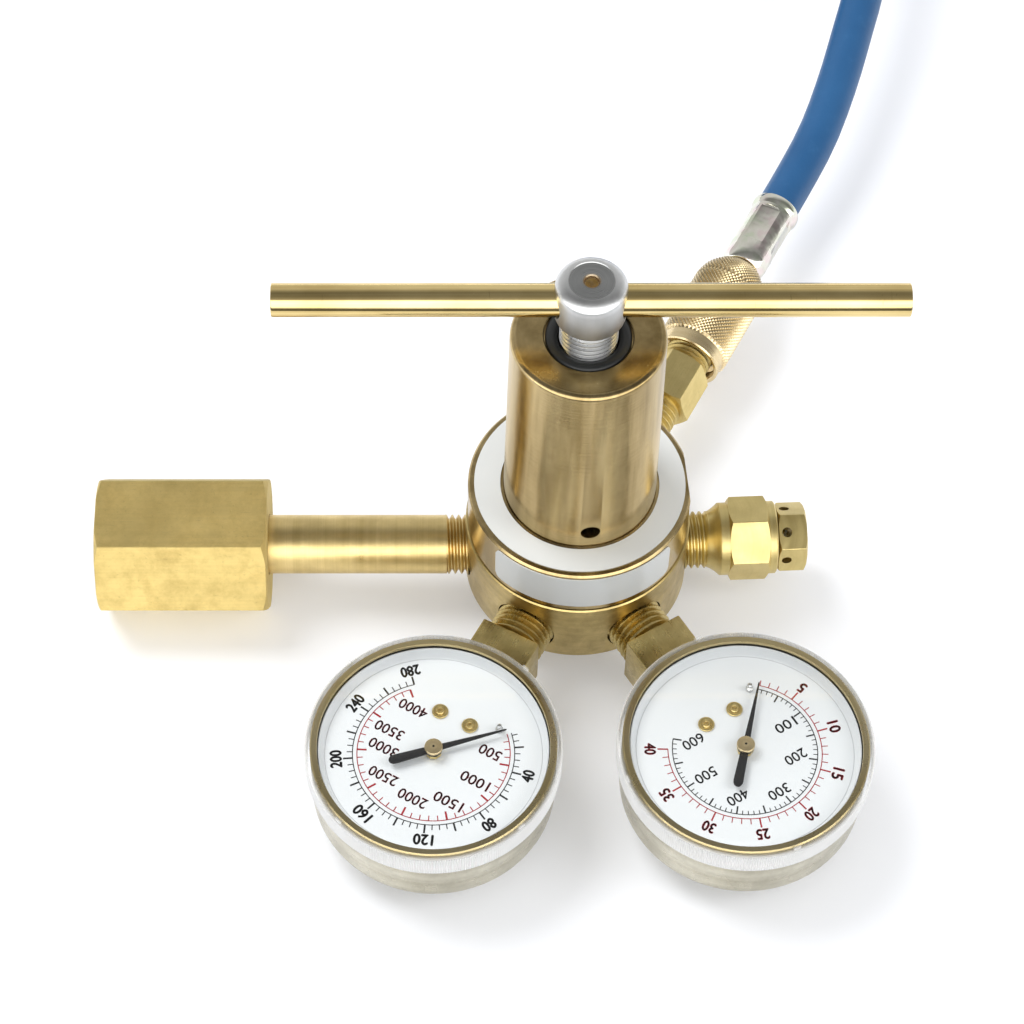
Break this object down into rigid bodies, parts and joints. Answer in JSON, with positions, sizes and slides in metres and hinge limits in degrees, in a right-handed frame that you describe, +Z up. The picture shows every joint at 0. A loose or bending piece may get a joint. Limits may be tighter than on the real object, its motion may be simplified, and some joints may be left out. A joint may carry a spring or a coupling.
{
  "type": "nitrogen pressure regulator",
  "caption": "Brass gas pressure regulator with adjusting screw and cross bar, round dial gauges, relief valve, long inlet stem with hexagon nut, and a blue charging hose.",
  "frame": {"origin": "centre of the back cap's bottom face, on the surface that the regulator stands on, under the valve body's axis", "axes": "+Z up along the adjusting screw, -X towards the inlet nut's mouth, -Y towards the gauges"},
  "size_m": [0.193, 0.3878, 0.1107],
  "materials": {
    "brass": "machined, satin",
    "bright_brass": "polished",
    "dull_brass": "pressed, dull",
    "steel": "turned",
    "zinc_plate": "zinc plated",
    "bronze": "sintered",
    "rubber": "matt",
    "blue_hose": "satin",
    "white_label": "satin film",
    "dial_white": "white enamel",
    "pointer_black": "black paint",
    "clear_plastic": "clear moulded"
  },
  "bodies": {
    "regulator": {"valve_body": "brass", "back_cap": "brass", "cap_gasket": "rubber", "valve_seat": "bright_brass", "poppet_spring": "steel", "diaphragm": "rubber", "slip_ring": "steel", "main_spring": "steel", "bonnet": "brass", "label_ring": "white_label", "label_band": "white_label", "screw_ring": "rubber", "inlet_nipple": "brass", "inlet_filter": "bronze", "relief_body": "bright_brass", "relief_cap": "bright_brass", "outlet_bushing": "brass", "outlet_adapter": "brass", "outlet_gasket": "rubber", "outlet_nipple": "bright_brass", "outlet_ferrule": "zinc_plate", "hose": "blue_hose", "hose_coil": "blue_hose", "hose_end_ferrule": "zinc_plate", "hose_end_nipple": "bright_brass", "hose_end_gasket": "rubber", "left_gauge_case": "dull_brass", "left_gauge_stem": "brass", "left_bourdon_tube": "bright_brass", "left_movement": "dull_brass", "left_gauge_dial": "dial_white", "left_dial_screw_1": "bright_brass", "left_dial_screw_2": "bright_brass", "left_stop_pin": "steel", "left_gauge_lens": "clear_plastic", "right_gauge_case": "dull_brass", "right_gauge_stem": "brass", "right_bourdon_tube": "bright_brass", "right_movement": "dull_brass", "right_gauge_dial": "dial_white", "right_dial_screw_1": "bright_brass", "right_dial_screw_2": "bright_brass", "right_stop_pin": "steel", "right_gauge_lens": "clear_plastic"},
    "valve_train": {"diaphragm_plate": "zinc_plate", "poppet": "steel"},
    "spring_button": {"spring_button": "zinc_plate"},
    "adjuster": {"adjusting_screw": "steel", "cross_bar": "bright_brass"},
    "inlet_nut": {"inlet_nut": "brass"},
    "relief_poppet": {"relief_poppet": "bright_brass", "relief_spring": "steel"},
    "outlet_sleeve": {"outlet_sleeve": "bright_brass"},
    "hose_end_sleeve": {"hose_end_sleeve": "bright_brass"},
    "left_needle": {"left_pointer": "pointer_black", "left_arbor": "bright_brass"},
    "right_needle": {"right_pointer": "pointer_black", "right_arbor": "bright_brass"}
  },
  "joints": [
    {"name": "screw_travel", "type": "slide", "parent": "regulator", "child": "spring_button", "axis": [0, 0, 1], "range_m": [-0.0063, 0.0015], "deforming": ["main_spring"]},
    {"name": "screw_turn", "type": "hinge", "parent": "spring_button", "child": "adjuster", "pos_m": [0, 0, 0.0996], "axis": [0, 0, 1], "range_deg": [-1785, 425]},
    {"name": "valve_lift", "type": "slide", "parent": "regulator", "child": "valve_train", "axis": [0, 0, 1], "range_m": [-0.0004, 0], "stiffness_N_per_m": 1000, "springref_m": 0.0008, "deforming": ["poppet_spring", "diaphragm"]},
    {"name": "nut_swivel", "type": "hinge", "parent": "regulator", "child": "inlet_nut", "pos_m": [-0.0871, 0, 0.0151], "axis": [1, 0, 0], "continuous": true},
    {"name": "relief_lift", "type": "slide", "parent": "regulator", "child": "relief_poppet", "axis": [0.999, 0.0436, 0], "range_m": [0, 0.0007], "stiffness_N_per_m": 500, "springref_m": -0.002},
    {"name": "outlet_swivel", "type": "hinge", "parent": "regulator", "child": "outlet_sleeve", "pos_m": [0.0334, 0.06362, 0.0151], "axis": [0.4648, 0.8854, 0], "continuous": true},
    {"name": "hose_end_swivel", "type": "hinge", "parent": "regulator", "child": "hose_end_sleeve", "pos_m": [-0.0406, 0.295, 0.0087], "axis": [1, 0, 0], "continuous": true},
    {"name": "left_needle_turn", "type": "hinge", "parent": "regulator", "child": "left_needle", "pos_m": [-0.03151, -0.05708, 0.0241], "axis": [0, 0, 1], "range_deg": [-274, 0], "stiffness_Nm_per_rad": 0.0002, "springref_deg": 5.73},
    {"name": "right_needle_turn", "type": "hinge", "parent": "regulator", "child": "right_needle", "pos_m": [0.03414, -0.05648, 0.0241], "axis": [0, 0, 1], "range_deg": [-274, 0], "stiffness_Nm_per_rad": 0.0002, "springref_deg": 5.73}
  ],
  "couplings": [
    {"joint": "screw_travel", "follows": "screw_turn", "m_per_rad": 0.00020213}
  ]
}
